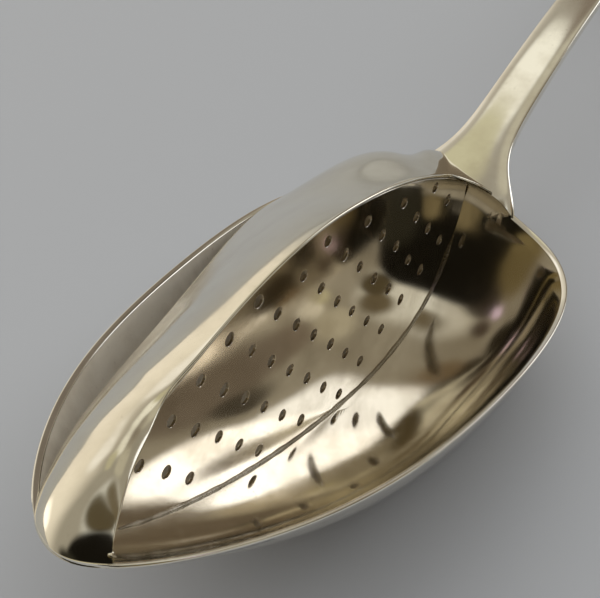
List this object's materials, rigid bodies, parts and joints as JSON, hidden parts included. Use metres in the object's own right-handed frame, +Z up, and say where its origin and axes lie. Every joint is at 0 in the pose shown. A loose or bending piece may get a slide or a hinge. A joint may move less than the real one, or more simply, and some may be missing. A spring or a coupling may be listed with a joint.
{
  "type": "strainer basting spoon",
  "caption": "Basting spoon with an upright pierced strainer plate along the bowl and a domed hood soldered over its far half, leaving a slot at the rim.",
  "frame": {"origin": "centre of the base of the whole spoon's box, on the surface that it lies on", "axes": "+X from the bowl's tip to the handle's end, +Z up, +Y towards the hood's side"},
  "size_m": [0.3028, 0.0592, 0.0422],
  "materials": {
    "spoon_silver": "polished old silver, finely scratched",
    "hood_silver": "polished old silver, finely scratched",
    "plate_silver": "polished old silver, a little tarnished",
    "solder": "dull silver solder"
  },
  "bodies": {
    "root": {"spoon_body": "spoon_silver", "hood": "hood_silver", "strainer_plate": "plate_silver", "solder_foot_pocket": "solder", "solder_foot_chamber": "solder", "solder_hood_plate": "solder", "solder_hood_nose": "solder", "solder_hood_heel": "solder"}
  },
  "joints": []
}
